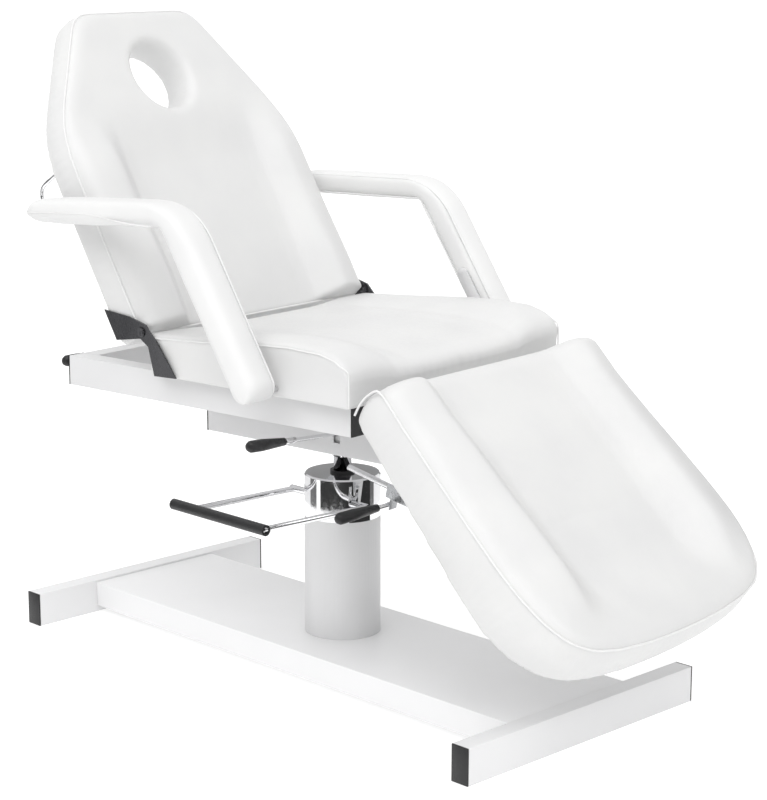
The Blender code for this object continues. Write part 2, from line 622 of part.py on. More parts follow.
def build():
    clear_scene()
    bed = joint_frame("bed", None, (0, ORIGIN_SHIFT_Y, 0))
    base = joint_frame("base_frame", bed, turn=-SWIVEL_AT_REST)
    lift = joint_frame("lift_frame", base)
    seat = joint_frame("seat_frame", lift, turn=SWIVEL_AT_REST)
    back = joint_frame("back_frame", seat, BACK_PIVOT, tilt=BACK_ANGLE)
    leg = joint_frame("leg_frame", seat, LEG_PIVOT, tilt=LEG_ANGLE)
    build_base(base)
    build_pump(base)
    build_pedal(joint_frame("pedal_axis", base, PEDAL_AXIS))
    build_piston(lift)
    build_frame(seat)
    build_back_hinges(seat, back)
    build_leg_hinges(seat, leg)
    build_back(back)
    build_leg(leg)
    for hand, turn in (("right", -1), ("left", 1)):
        arm = joint_frame(f"arm_axis_{hand}", seat, (0, ARM_PIVOT_Y, ARM_PIVOT_Z))
        build_arm(hand, turn, arm)

    lug_y, lug_z = turned_by(LEG_ANGLE, -LEG_LUG[0], LEG_LUG[1])
    lug_y += LEG_PIVOT[1]
    lug_z += LEG_PIVOT[2]
    way_y = LEG_CLAMP[0] - lug_y
    way_z = LEG_CLAMP[1] - lug_z
    tilt = math.atan2(way_z, way_y)
    clamp = joint_frame("leg_clamp_axis", seat, (LEG_LOCK_X, *LEG_CLAMP), tilt=tilt)
    lug = joint_frame("leg_lug_axis", leg, (LEG_LOCK_X, -LEG_LUG[0], LEG_LUG[1]), tilt=tilt - LEG_ANGLE)
    build_leg_lock(seat, leg, clamp, lug, math.hypot(way_y, way_z) + LEG_ROD_PAST)

    lug_y, lug_z = turned_by(BACK_ANGLE, *BACK_LUG)
    lug_y += BACK_PIVOT[1]
    lug_z += BACK_PIVOT[2]
    way_y = lug_y - BACK_CLAMP[0]
    way_z = lug_z - BACK_CLAMP[1]
    tilt = math.atan2(way_z, way_y)
    clamp_b = joint_frame("back_clamp_axis", seat, (BACK_LOCK_X, *BACK_CLAMP), tilt=tilt)
    lug = joint_frame("back_lug_axis", back, (BACK_LOCK_X, *BACK_LUG), tilt=tilt - BACK_ANGLE)
    build_back_lock(seat, clamp_b, lug, math.hypot(way_y, way_z) + BACK_ROD_PAST)

    build_lever("back_lever", joint_frame("back_lever_axis", seat, (-0.030, 0.500, 0.5970)), 0.252, 0.0, 0.089)
    swivel_lever = joint_frame("swivel_lever_axis", seat, (-0.050, -0.070, 0.4960))
    build_lever("swivel_lever", swivel_lever, 0.301, 0.0220, 0.100, neck=0.034)
    height = -0.024
    lever_c = joint_frame("leg_lever_axis", clamp, (0, 0.041, height - 0.009), tilt=-clamp.rotation_euler.x)
    build_lever("leg_lever", lever_c, 0.157, 0.002, 0.117)


build()
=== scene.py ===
import json
import math

import bmesh
import bpy
import numpy as np
from mathutils import Matrix, Vector, noise


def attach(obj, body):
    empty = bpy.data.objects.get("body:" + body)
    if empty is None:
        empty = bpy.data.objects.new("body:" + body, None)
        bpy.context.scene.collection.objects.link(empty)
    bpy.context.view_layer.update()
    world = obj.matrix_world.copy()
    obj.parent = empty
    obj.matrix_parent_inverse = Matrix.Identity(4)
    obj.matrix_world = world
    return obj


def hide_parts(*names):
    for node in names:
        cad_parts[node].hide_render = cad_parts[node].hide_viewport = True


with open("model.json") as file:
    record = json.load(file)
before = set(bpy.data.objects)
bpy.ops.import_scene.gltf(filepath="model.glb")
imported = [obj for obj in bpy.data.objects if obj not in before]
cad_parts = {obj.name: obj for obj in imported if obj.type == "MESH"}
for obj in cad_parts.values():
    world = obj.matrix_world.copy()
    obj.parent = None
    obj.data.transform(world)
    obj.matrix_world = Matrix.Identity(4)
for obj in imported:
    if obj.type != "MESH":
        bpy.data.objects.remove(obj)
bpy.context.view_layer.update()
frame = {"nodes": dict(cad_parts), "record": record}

NODES = frame["nodes"]
BODY_OF = {n: b for b, ns in frame["record"]["behaviour"]["bodies"].items() for n in ns}
SLOT_OF = {row["node"]: row["material_slot"] for row in frame["record"]["subparts"]}
JOINTS = {j["name"]: Vector(j["pos_m"]) for j in frame["record"]["behaviour"]["joints"]}
COLUMN = Vector((0, JOINTS["seat_swivel"].y, 0))
BACK_ANGLE, LEG_ANGLE = math.radians(60), math.radians(42.5)

SEAT = Matrix.Translation(COLUMN)
BACK = Matrix.Translation(JOINTS["backrest_tilt"]) @ Matrix.Rotation(BACK_ANGLE, 4, "X")
LEG = Matrix.Translation(JOINTS["leg_rest_tilt"]) @ Matrix.Rotation(LEG_ANGLE, 4, "X")

# Radii of the piping and seams, and how far in from the seam a cushion's wall bulges.
PIPING_R = 0.0022
SEAT_PIPING_R = 0.0016
ARM_PIPING_R = 0.0020
ARM_SEAM_R = 0.0012
WALL_DEPTH = 0.006


def smoothstep(low, high, value):
    """Eases from 0 at low to 1 at high."""
    t = np.clip((value - low) / (high - low), 0, 1)
    return t * t * (3 - 2 * t)


# ---- materials ----
class Graph:
    """A small helper for building a material's nodes."""

    def __init__(self, name, colour, roughness, metallic=0.0, **sockets):
        self.material = bpy.data.materials.new(name)
        self.material.use_nodes = True
        self.tree = self.material.node_tree
        self.shader = self.tree.nodes["Principled BSDF"]
        self.shader.inputs["Base Color"].default_value = (*colour, 1)
        self.shader.inputs["Roughness"].default_value = roughness
        self.shader.inputs["Metallic"].default_value = metallic
        for key, value in sockets.items():
            self.shader.inputs[key.replace("_", " ")].default_value = value
        self.position = self.node("ShaderNodeTexCoord").outputs["Object"]

    def node(self, kind, **settings):
        made = self.tree.nodes.new(kind)
        for key, value in settings.items():
            setattr(made, key, value)
        return made

    def link(self, source, target):
        self.tree.links.new(source, target)

    def noise(self, scale, detail=3, roughness=0.5, stretch=None):
        texture = self.node("ShaderNodeTexNoise")
        texture.inputs["Scale"].default_value = scale
        texture.inputs["Detail"].default_value = detail
        texture.inputs["Roughness"].default_value = roughness
        self.place(texture, stretch)
        return texture.outputs["Fac"]

    def cells(self, scale, stretch=None):
        texture = self.node("ShaderNodeTexVoronoi", feature="DISTANCE_TO_EDGE")
        texture.inputs["Scale"].default_value = scale
        self.place(texture, stretch)
        return texture.outputs["Distance"]

    def place(self, texture, stretch):
        if stretch:
            mapping = self.node("ShaderNodeMapping")
            mapping.inputs["Scale"].default_value = stretch
            self.link(self.position, mapping.inputs["Vector"])
            self.link(mapping.outputs["Vector"], texture.inputs["Vector"])
        else:
            self.link(self.position, texture.inputs["Vector"])

    def remap(self, source, low, high, to_low, to_high):
        node = self.node("ShaderNodeMapRange")
        ends = {"From Min": low, "From Max": high, "To Min": to_low, "To Max": to_high}
        for key, value in ends.items():
            node.inputs[key].default_value = value
        self.link(source, node.inputs["Value"])
        return node.outputs["Result"]

    def blend(self, factor, first, second):
        mix = self.node("ShaderNodeMix", data_type="RGBA")
        mix.inputs["A"].default_value = (*first, 1)
        mix.inputs["B"].default_value = (*second, 1)
        self.link(factor, mix.inputs["Factor"])
        return mix.outputs["Result"]

    def colour(self, source):
        self.link(source, self.shader.inputs["Base Color"])

    def roughness(self, source):
        self.link(source, self.shader.inputs["Roughness"])

    def bump(self, *layers):
        """layers are (height, distance in metres, strength), the coarsest first."""
        normal = None
        for height, distance, strength in layers:
            bump = self.node("ShaderNodeBump")
            bump.inputs["Distance"].default_value = distance
            bump.inputs["Strength"].default_value = strength
            self.link(height, bump.inputs["Height"])
            if normal:
                self.link(normal, bump.inputs["Normal"])
            normal = bump.outputs["Normal"]
        self.link(normal, self.shader.inputs["Normal"])


def vinyl(name, tone):
    """Fine-grained synthetic leather with soft creases."""
    g = Graph(name, (tone, tone, tone), 0.42, Specular_IOR_Level=0.42)
    dull, clean = tone - 0.012, tone + 0.014
    patches = g.remap(g.noise(7, 4), 0.35, 0.65, 0, 1)
    g.colour(g.blend(patches, (dull, dull, dull), (clean, clean, clean - 0.004)))
    g.roughness(g.remap(g.noise(160, 4), 0.3, 0.7, 0.36, 0.50))
    grain = g.remap(g.cells(900), 0, 0.25, 0, 1)
    creases = g.remap(g.noise(16, 3, 0.6), 0.40, 0.60, 0, 1)
    g.bump((creases, 0.0022, 0.10), (g.noise(60, 4), 0.0006, 0.14), (grain, 0.00012, 0.35))
    return g.material


def piping():
    g = Graph("piping_leatherette", (0.71, 0.71, 0.71), 0.40)
    g.colour(g.blend(g.noise(90, 2), (0.69, 0.69, 0.69), (0.75, 0.75, 0.745)))
    g.bump((g.cells(900), 0.0001, 0.3))
    return g.material


def powder_coat(name, tone):
    g = Graph(name, (tone, tone, tone + 0.005), 0.45, Coat_Weight=0.08, Coat_Roughness=0.35)
    dull, clean = tone - 0.008, tone + 0.010
    patches = g.remap(g.noise(5, 3), 0.35, 0.65, 0, 1)
    g.colour(g.blend(patches, (dull, dull, dull + 0.005), (clean, clean, clean + 0.005)))
    g.roughness(g.remap(g.noise(300, 3), 0.3, 0.7, 0.38, 0.52))
    g.bump((g.noise(850, 2), 0.00006, 0.35))
    return g.material


def chrome():
    g = Graph("chrome_plate", (0.86, 0.86, 0.87), 0.05, 1.0)
    g.colour(g.blend(g.noise(25, 4), (0.83, 0.83, 0.845), (0.89, 0.89, 0.90)))
    g.roughness(g.remap(g.noise(140, 5), 0.35, 0.75, 0.03, 0.09))
    return g.material


def black_rubber():
    g = Graph("black_grip_rubber", (0.013, 0.013, 0.014), 0.45)
    g.colour(g.blend(g.noise(60, 3), (0.010, 0.010, 0.011), (0.020, 0.020, 0.021)))
    g.roughness(g.remap(g.noise(220, 3), 0.3, 0.7, 0.36, 0.55))
    g.bump((g.noise(500, 3), 0.0003, 0.25))
    return g.material


def black_cap():
    g = Graph("black_moulded_plastic", (0.011, 0.011, 0.012), 0.42)
    g.colour(g.blend(g.noise(80, 3), (0.009, 0.009, 0.010), (0.017, 0.017, 0.018)))
    g.roughness(g.remap(g.noise(400, 3), 0.3, 0.7, 0.36, 0.52))
    g.bump((g.cells(1100), 0.00008, 0.3))
    return g.material


def hinge_plate():
    g = Graph("dark_hinge_steel", (0.075, 0.075, 0.08), 0.28, 0.75)
    g.colour(g.blend(g.noise(14, 3), (0.055, 0.055, 0.06), (0.115, 0.115, 0.12)))
    g.roughness(g.remap(g.noise(120, 4, stretch=(1, 9, 1)), 0.3, 0.7, 0.22, 0.38))
    g.bump((g.noise(200, 3, stretch=(1, 12, 1)), 0.0001, 0.12))
    return g.material


def zinc():
    g = Graph("zinc_plated_steel", (0.66, 0.67, 0.69), 0.28, 1.0)
    g.colour(g.blend(g.noise(40, 3), (0.60, 0.61, 0.63), (0.72, 0.73, 0.745)))
    g.roughness(g.remap(g.noise(180, 4), 0.3, 0.7, 0.22, 0.38))
    return g.material


MATERIALS = {
    "white_paint": powder_coat("white_powder_coat", 0.67),
    "chrome": chrome(),
    "black_plastic": black_cap(),
    "rubber": black_rubber(),
    "dark_steel": hinge_plate(),
    "zinc_steel": zinc(),
    "white_vinyl": vinyl("white_leatherette", 0.655),
}
PIPING = piping()
# Painted light and shade: copies of the white powder coat in other tones. The base channel is lighter, the
# base tubes a little darker than it, and the pedestal cover darker still. Each tone is set for how bright
# that part looks under the lights.
CHANNEL_LIT_COAT = powder_coat("channel_coat_painted_light", 0.76)
COVER_SHADED_COAT = powder_coat("cover_coat_painted_shade", 0.65)
TUBE_SHADED_COAT = powder_coat("tube_coat_painted_shade", 0.70)
PAINTED_LIGHT_COATS = {
    "pedestal_cover": COVER_SHADED_COAT, "base_channel": CHANNEL_LIT_COAT,
    "base_front_tube": TUBE_SHADED_COAT, "base_rear_tube": TUBE_SHADED_COAT,
}
# Painted light: a lighter copy of the white leatherette for the armrests, set for the stronger light they
# catch.
ARM_LIT_LEATHERETTE = vinyl("armrest_vinyl_painted_light", 0.705)


# ---- pieces ----
# The angles in degrees above which a CAD node's edges stay crisp.
NODE_SHARP, PISTON_SHARP = 32, 12


def make_object(name, mesh, material, body, sharp=35):
    """A smooth-shaded piece on a body, with edges above the angle sharp kept crisp."""
    mesh.materials.clear()
    mesh.materials.append(material)
    mesh.shade_smooth()
    mesh.set_sharp_from_angle(angle=math.radians(sharp))
    piece = bpy.data.objects.new(name, mesh)
    bpy.context.scene.collection.objects.link(piece)
    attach(piece, body)
    return piece


def material_of(node):
    """The material of a CAD node."""
    if node in PAINTED_LIGHT_COATS:
        return PAINTED_LIGHT_COATS[node]
    if node.startswith("arm_bracket"):
        return MATERIALS["white_paint"]
    if node.startswith("back_pivot_bolt"):
        return MATERIALS["dark_steel"]
    return MATERIALS[SLOT_OF[node]]


def refine(node, width=0.0):
    """A welded, smooth-shaded copy of a CAD node, with rounded edges where width is given."""
    bm = bmesh.new()
    bm.from_mesh(NODES[node].data)
    bmesh.ops.remove_doubles(bm, verts=bm.verts, dist=2e-5)
    if width:
        bmesh.ops.dissolve_limit(bm, angle_limit=math.radians(1.0), verts=bm.verts, edges=bm.edges)
        edges = [e for e in bm.edges if len(e.link_faces) == 2 and e.calc_face_angle() > math.radians(50)]
        bmesh.ops.bevel(
            bm, geom=edges, offset=width, offset_type="OFFSET", segments=3, profile=0.5,
            affect="EDGES", clamp_overlap=True)
    bmesh.ops.recalc_face_normals(bm, faces=bm.faces)
    mesh = bpy.data.meshes.new(node + "_soft")
    bm.to_mesh(mesh)
    bm.free()
    sharp = PISTON_SHARP if node == "piston" else NODE_SHARP
    piece = make_object(node + "_finish", mesh, material_of(node), BODY_OF[node], sharp)
    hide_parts(node)


def prism(outline, low, high):
    """A straight block over an outline, from low to high."""
    bm = bmesh.new()
    rings = [[bm.verts.new((x, y, z)) for x, y in outline] for z in (low, high)]
    bm.faces.new(rings[0][::-1])
    bm.faces.new(rings[1])
    for i in range(len(outline)):
        j = (i + 1) % len(outline)
        bm.faces.new((rings[0][i], rings[0][j], rings[1][j], rings[1][i]))
    bmesh.ops.recalc_face_normals(bm, faces=bm.faces)
    return bm


def temporary(bm):
    """A helper object for modifiers, which evaluated_mesh or its caller removes."""
    mesh = bpy.data.meshes.new("temporary")
    bm.to_mesh(mesh)
    bm.free()
    thing = bpy.data.objects.new("temporary", mesh)
    bpy.context.scene.collection.objects.link(thing)
    return thing


def evaluated_mesh(thing):
    """The object's mesh after its modifiers; the object itself is removed."""
    bpy.context.view_layer.update()
    graph = bpy.context.evaluated_depsgraph_get()
    mesh = bpy.data.meshes.new_from_object(thing.evaluated_get(graph))
    bpy.data.objects.remove(thing)
    return mesh


def voxel_solid(solid, voxel, cutter=None):
    """Cuts the solid by the cutter, if there is one, and remeshes it in even quads."""
    thing = temporary(solid)
    helper = temporary(cutter) if cutter else None
    if helper:
        modifier = thing.modifiers.new("cut", "BOOLEAN")
        modifier.operation = "DIFFERENCE"
        modifier.solver = "EXACT"
        modifier.object = helper
    remesh = thing.modifiers.new("remesh", "REMESH")
    remesh.mode = "VOXEL"
    remesh.voxel_size = voxel
    mesh = evaluated_mesh(thing)
    if helper:
        bpy.data.objects.remove(helper)
    return mesh


def outline_distance(points, outline, closed=True):
    """(distance to the outline, distance along it to the nearest point, outward normal there)."""
    ring = np.array(outline, float)
    ends = np.roll(ring, -1, axis=0) if closed else ring[1:]
    starts = ring if closed else ring[:-1]
    way = ends - starts
    length = np.hypot(*way.T)
    along = np.concatenate([[0], np.cumsum(length)[:-1]])
    best = np.full(len(points), 9.0)
    place = np.zeros(len(points))
    normal = np.zeros((len(points), 2))
    for k in range(len(starts)):
        if length[k] < 1e-9:
            continue
        t = np.clip(((points - starts[k]) @ way[k]) / length[k] ** 2, 0, 1)
        gap = np.hypot(*(points - starts[k] - t[:, None] * way[k]).T)
        nearer = gap < best
        best[nearer] = gap[nearer]
        place[nearer] = along[k] + t[nearer] * length[k]
        normal[nearer] = (way[k][1] / length[k], -way[k][0] / length[k])
    return best, place, normal


def coordinates(mesh):
    co = np.empty(len(mesh.vertices) * 3)
    mesh.vertices.foreach_get("co", co)
    return co.reshape(-1, 3)


def set_coordinates(mesh, co):
    mesh.vertices.foreach_set("co", co.reshape(-1))
    mesh.update()


def relax(mesh, rounds):
    """Smooths a mesh by moving each vertex half-way to its neighbours' mean."""
    edges = np.empty(len(mesh.edges) * 2, int)
    mesh.edges.foreach_get("vertices", edges)
    edges = edges.reshape(-1, 2)
    co = coordinates(mesh)
    count = np.zeros(len(co))
    np.add.at(count, edges.reshape(-1), 1)
    for _ in range(rounds):
        total = np.zeros_like(co)
        np.add.at(total, edges[:, 0], co[edges[:, 1]])
        np.add.at(total, edges[:, 1], co[edges[:, 0]])
        co += 0.5 * (total / count[:, None] - co)
    set_coordinates(mesh, co)


def field(points, scale, seed=0.0):
    """Smooth noise at each point, from about -0.5 to 0.5."""
    offset = Vector((seed * 17.3, seed * 5.1, seed * 9.7))
    return np.array([noise.noise(Vector(p) * scale + offset) for p in points])


def roll(distance, reach):
    """How far a stuffed panel has risen at that distance from its seam, from 0 to 1."""
    t = np.clip(distance / reach, 0, 1)
    return np.sqrt(np.clip(1 - (1 - t) ** 2, 0, 1))


BOLSTER_X, FOLD_X = 0.248, 0.190


def bolsters(x, strength, height, dish, crease):
    """The profile across a cushion with a bolster down each side of a flat middle panel."""
    side = np.abs(x)
    spread = np.where(side < BOLSTER_X, 0.037, 0.075)
    crest = height * np.exp(-((side - BOLSTER_X) / spread) ** 2)
    middle = -dish * (1 - smoothstep(0.150, 0.238, side))
    fold = -crease * np.exp(-((side - FOLD_X) / 0.012) ** 2)
    return strength * (crest + middle + fold)


def tube(name, path, radius, body, closed=False):
    """A round cord of the piping's leatherette along a path."""
    curve = bpy.data.curves.new(name, "CURVE")
    curve.dimensions = "3D"
    curve.bevel_depth = radius
    curve.bevel_resolution = 3
    curve.use_fill_caps = not closed
    spline = curve.splines.new("POLY")
    spline.points.add(len(path) - 1)
    for point, place in zip(spline.points, path):
        point.co = (*place, 1)
    spline.use_cyclic_u = closed
    thing = bpy.data.objects.new(name, curve)
    bpy.context.scene.collection.objects.link(thing)
    mesh = evaluated_mesh(thing)
    bpy.data.curves.remove(curve)
    mesh.name = name
    return make_object(name, mesh, PIPING, body, 60)


def resample(path, step, closed=False):
    """The path at even steps."""
    points = np.array(path, float)
    if closed:
        points = np.vstack([points, points[:1]])
    length = np.concatenate([[0], np.cumsum(np.linalg.norm(np.diff(points, axis=0), axis=1))])
    count = max(4, int(length[-1] / step))
    at = np.linspace(0, length[-1], count + 1)
    out = np.stack([np.interp(at, length, points[:, k]) for k in range(points.shape[1])], 1)
    return out[:-1] if closed else out


def rounded(outline, rounds=3, step=0.012, closed=True):
    """The outline at even steps, with its corners eased."""
    points = resample(outline, step, closed)
    for _ in range(rounds):
        if closed:
            points = 0.5 * points + 0.25 * (np.roll(points, 1, 0) + np.roll(points, -1, 0))
        else:
            points[1:-1] = 0.5 * points[1:-1] + 0.25 * (points[2:] + points[:-2])
    return points


def mirrored(points):
    """An outline from its half at +X."""
    return list(points) + [(-x, y) for x, y in reversed(points)]


# ---- backrest cushion: flat in its own frame, +Y towards the head ----
BACK_TOP, BACK_UNDER = -0.012, -0.0755
HOLE_Y, HOLE_R = 0.536, 0.073


def build_back():
    """A panel with two bolsters, rolled edges and a face hole with a rolled rim."""
    half = [
        (0.322, -0.0025), (0.3235, 0.006), (0.3235, 0.330), (0.320, 0.390), (0.308, 0.440),
        (0.286, 0.485), (0.178, 0.659), (0.160, 0.677), (0.136, 0.683),
    ]
    outline = rounded(mirrored(half), 2)
    hole = bmesh.new()
    bmesh.ops.create_cone(
        hole, cap_ends=True, segments=64, radius1=HOLE_R, radius2=HOLE_R, depth=0.4,
        matrix=Matrix.Translation((0, HOLE_Y, 0)))
    mesh = voxel_solid(prism(outline, BACK_UNDER, BACK_TOP), 0.005, hole)
    co = coordinates(mesh)
    x, y, z = co.T
    level = np.clip((z - BACK_UNDER) / (BACK_TOP - BACK_UNDER), 0, 1)
    edge, along, outward = outline_distance(co[:, :2], outline)
    hole_gap = np.hypot(x, y - HOLE_Y) - HOLE_R
    lift = smoothstep(0.55, 1.0, level)
    strength = smoothstep(0.475, 0.33, y)
    crown = 0.014 + 0.006 * smoothstep(0.0, 0.22, np.minimum(edge, 0.22))
    shape = crown + bolsters(x, strength, 0.026 + 0.010 * smoothstep(0.25, 0.05, y), 0.016, 0.003)
    side_edge, _, _ = outline_distance(co[:, :2], outline[outline[:, 1] > 0.02], closed=False)
    foot = np.maximum(y - outline[:, 1].min(), 0)
    rise = shape * roll(side_edge, 0.028) * roll(foot, 0.009) * roll(np.maximum(hole_gap, 0), 0.022)
    rise += 0.0012 * field(co * (1, 1, 0.3), 9, 1) * smoothstep(0, 0.03, edge)
    pucker = 0.0008 * np.sin(along / 0.021 * 2 * np.pi + 3 * field(co, 12, 2)) * np.exp(-edge / 0.010)
    wall = np.exp(-(edge / WALL_DEPTH) ** 2)
    free = 0.10 + 0.90 * smoothstep(0.11, 0.17, y)
    bulge = 0.006 * np.sin(np.pi * level) * wall * free
    bulge *= smoothstep(0.004, 0.03, y)
    co[:, 2] += lift * rise
    co[:, :2] += outward * (bulge + pucker * wall * np.sin(np.pi * level))[:, None]
    ring = np.exp(-(np.maximum(hole_gap, 0) / WALL_DEPTH) ** 2) * (hole_gap < 0.02)
    inward = np.stack([x, y - HOLE_Y], 1) / np.maximum(np.hypot(x, y - HOLE_Y), 1e-6)[:, None]
    co[:, :2] -= inward * (0.004 * np.sin(np.pi * level) * ring)[:, None]
    set_coordinates(mesh, co)
    relax(mesh, 3)
    mesh.transform(BACK)
    cushion = make_object("backrest_cushion", mesh, MATERIALS["white_vinyl"], "backrest", 80)
    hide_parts("back_cushion", "back_board")
    path = [BACK @ Vector((px, py, BACK_TOP + 0.0005)) for px, py in outline]
    tube("backrest_piping", path, PIPING_R, "backrest", closed=True)


# ---- leg rest cushion: flat in its own frame, the hinge at 0 and the foot towards -Y ----
LEG_START, LEG_TOP = 0.0065, 0.067
# (distance from the hinge, height) of the underside and of the seam round the top.
LEG_UNDER = (
    (0, -0.008), (0.06, -0.013), (0.12, -0.021), (0.20, -0.025), (0.30, -0.031),
    (0.39, -0.039), (0.46, -0.044), (0.52, -0.040), (0.60, -0.026), (0.63, -0.020),
)
LEG_CREST = ((0, 0.072), (0.03, 0.074), (0.10, 0.068), (0.2, LEG_TOP), (0.63, LEG_TOP))
# (distance from the hinge, from x, to x, depth) of each crease across the top.
LEG_CREASES = (
    (0.352, -0.165, 0.085, 0.0016), (0.265, -0.185, -0.130, 0.0012), (0.205, -0.05, 0.10, 0.0008),
)


def leg_under(s):
    """The height of the underside at the distance s from the hinge."""
    return np.interp(s, *zip(*LEG_UNDER))


def leg_crest(s):
    """The height of the seam round the top at the distance s from the hinge."""
    return np.interp(s, *zip(*LEG_CREST))


def build_leg():
    """A tapering panel with two bolsters that fade towards a rounded foot."""
    half = [
        (0.300, 0.0), (0.322, 0.006), (0.326, 0.03), (0.329, 0.12), (0.336, 0.21),
        (0.345, 0.31), (0.350, 0.40), (0.348, 0.46), (0.337, 0.52), (0.312, 0.567),
        (0.270, 0.597), (0.205, 0.613), (0.120, 0.622), (0.040, 0.625),
    ]
    outline = rounded(mirrored(half), 3)
    low, high = -0.05, 0.08
    mesh = voxel_solid(prism([(px, -py - LEG_START) for px, py in outline][::-1], low, high), 0.0055)
    co = coordinates(mesh)
    s = -co[:, 1] - LEG_START
    x = co[:, 0]
    level = np.clip((co[:, 2] - low) / (high - low), 0, 1)
    flat = np.stack([x, s, np.zeros_like(x)], 1)
    edge, along, outward = outline_distance(flat[:, :2], outline)
    under, top = leg_under(s), leg_crest(s)
    lift = smoothstep(0.55, 1.0, level)
    fade = smoothstep(0.585, 0.44, s)
    dish, fold = 0.016 + 0.009 * smoothstep(0.15, 0.40, s), 0.0030 * smoothstep(0.42, 0.10, s)
    crown = 0.012 + 0.005 * smoothstep(0, 0.2, np.minimum(edge, 0.2))
    shape = crown + bolsters(x, fade, 0.025, dish, fold)
    hinge = roll(np.maximum(s, 0), 0.03)
    rise = shape * roll(edge, 0.03) - 0.020 * (1 - hinge) * smoothstep(0.006, 0.03, s + 0.02)
    rise += 0.0016 * field(flat, 7, 3) * smoothstep(0, 0.04, edge)
    for at, start, end, depth in LEG_CREASES:
        across = np.exp(-((s - at - 0.004 * np.sin(x * 30)) / 0.0045) ** 2)
        within = smoothstep(start - 0.03, start + 0.03, x) * smoothstep(end + 0.03, end - 0.03, x)
        rise -= depth * across * within
    co[:, 2] = under + level * (top - under) + lift * rise
    wall = np.exp(-(edge / WALL_DEPTH) ** 2)
    pucker = 0.0007 * np.sin(along / 0.019 * 2 * np.pi + 3 * field(co, 12, 4))
    bulge = (0.007 + pucker) * np.sin(np.pi * level) * wall
    co[:, 0] += outward[:, 0] * bulge
    co[:, 1] -= outward[:, 1] * bulge
    set_coordinates(mesh, co)
    relax(mesh, 3)
    mesh.transform(LEG)
    cushion = make_object("leg_rest_cushion", mesh, MATERIALS["white_vinyl"], "leg_rest", 80)
    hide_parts("leg_cushion", "leg_board")
    run = resample([(0.3225, 0.004)] + half[2:], 0.008)
    run = rounded(np.vstack([run, [(-px, py) for px, py in run[::-1]]]), 2, 0.008, False)
    path = [LEG @ Vector((px, -py - LEG_START, float(leg_crest(py)) + 0.0005)) for px, py in run]
    steps = (0, 0.2, 0.4, 0.6, 0.8)
    corner = [(-LEG_START - 0.002 + 0.007 * math.sin(t * math.pi), -0.004 + t * 0.070) for t in steps]
    start = [LEG @ Vector((0.322, py, pz)) for py, pz in corner]
    end = [LEG @ Vector((-0.322, py, pz)) for py, pz in reversed(corner)]
    tube("leg_rest_piping", rounded(start + path + end, 4, 0.006, False), PIPING_R, "leg_rest")


# ---- seat cushion ----
SEAT_FLOOR = 0.6146
SEAT_HALF_X = 0.3262
# The height of the sides and of the middle at each y.
SEAT_Y = [-0.300, -0.292, -0.283, -0.260, -0.225, -0.150, -0.070, 0.070, 0.215]
SEAT_SIDE_Z = [0.675, 0.684, 0.694, 0.707, 0.716, 0.7185, 0.7145, 0.703, 0.694]
SEAT_MIDDLE_Z = [0.664, 0.670, 0.676, 0.684, 0.690, 0.696, 0.698, 0.694, 0.686]


def build_seat():
    """A pad that is higher along its sides and rolls down over its front edge."""
    half = [(0.322, -0.294), (SEAT_HALF_X, -0.291), (0.3255, 0.203), (0.322, 0.211)]
    outline = rounded([(-px, py) for px, py in half] + [(px, py) for px, py in reversed(half)], 0, 0.006)
    low, high = SEAT_FLOOR, 0.700
    mesh = voxel_solid(prism(outline, low, high), 0.005)
    co = coordinates(mesh)
    x, y, z = co.T
    level = np.clip((z - low) / (high - low), 0, 1)
    edge, along, outward = outline_distance(co[:, :2], outline)
    side = np.abs(x)
    across = smoothstep(0.130, 0.265, side)
    top = np.interp(y, SEAT_Y, SEAT_MIDDLE_Z) * (1 - across) + np.interp(y, SEAT_Y, SEAT_SIDE_Z) * across
    ridge = smoothstep(-0.29, -0.20, y) * smoothstep(0.21, 0.05, y)
    top += 0.004 * np.exp(-((side - 0.262) / 0.040) ** 2) * ridge
    top -= 0.0030 * np.exp(-((side - 0.186) / 0.014) ** 2) * smoothstep(0.20, 0.0, y)
    top += 0.0020 * field(co * (1, 1, 0.2), 8, 5) * smoothstep(0, 0.04, edge)
    top -= 0.009 * (1 - roll(0.3255 - side, 0.013)) + 0.012 * (1 - roll(y + 0.293, 0.026))
    top -= 0.004 * (1 - roll(0.212 - y, 0.008))
    co[:, 2] = low + level * (top - low)
    wall = np.exp(-(edge / WALL_DEPTH) ** 2)
    waves = np.sin(along / 0.024 * 2 * np.pi + 4 * field(co, 9, 6))
    pucker = 0.0004 * waves * smoothstep(0.35, 0.9, level)
    swell = (0.0035 * np.sin(np.pi * level) + 0.0020 * field(co, 13, 8)) * smoothstep(0.211, 0.17, y)
    co[:, :2] += outward * ((swell + pucker) * wall)[:, None]
    set_coordinates(mesh, co)
    relax(mesh, 2)
    mesh.transform(SEAT)
    cushion = make_object("seat_pad", mesh, MATERIALS["white_vinyl"], "seat", 80)
    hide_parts("seat_cushion", "seat_board")
    for turn, name in ((-1, "right"), (1, "left")):
        ys = np.linspace(0.204, -0.272, 40)
        rim = [(turn * SEAT_HALF_X, py, float(np.interp(py, SEAT_Y, SEAT_SIDE_Z)) - 0.0085) for py in ys]
        bend = rim[-1][2]
        for t in np.linspace(0.1, 1, 8):
            forward = 0.018 * math.sin(t * math.pi / 2)
            rim.append((turn * (SEAT_HALF_X - 0.0025 * t), -0.272 - forward, bend - 0.012 * t))
        for pz in np.linspace(rim[-1][2] - 0.006, SEAT_FLOOR + 0.002, 8):
            rim.append((turn * 0.3240, -0.2915, pz))
        path = [SEAT @ Vector(p) for p in rim]
        tube(f"seat_piping_{name}", path, SEAT_PIPING_R, "seat")


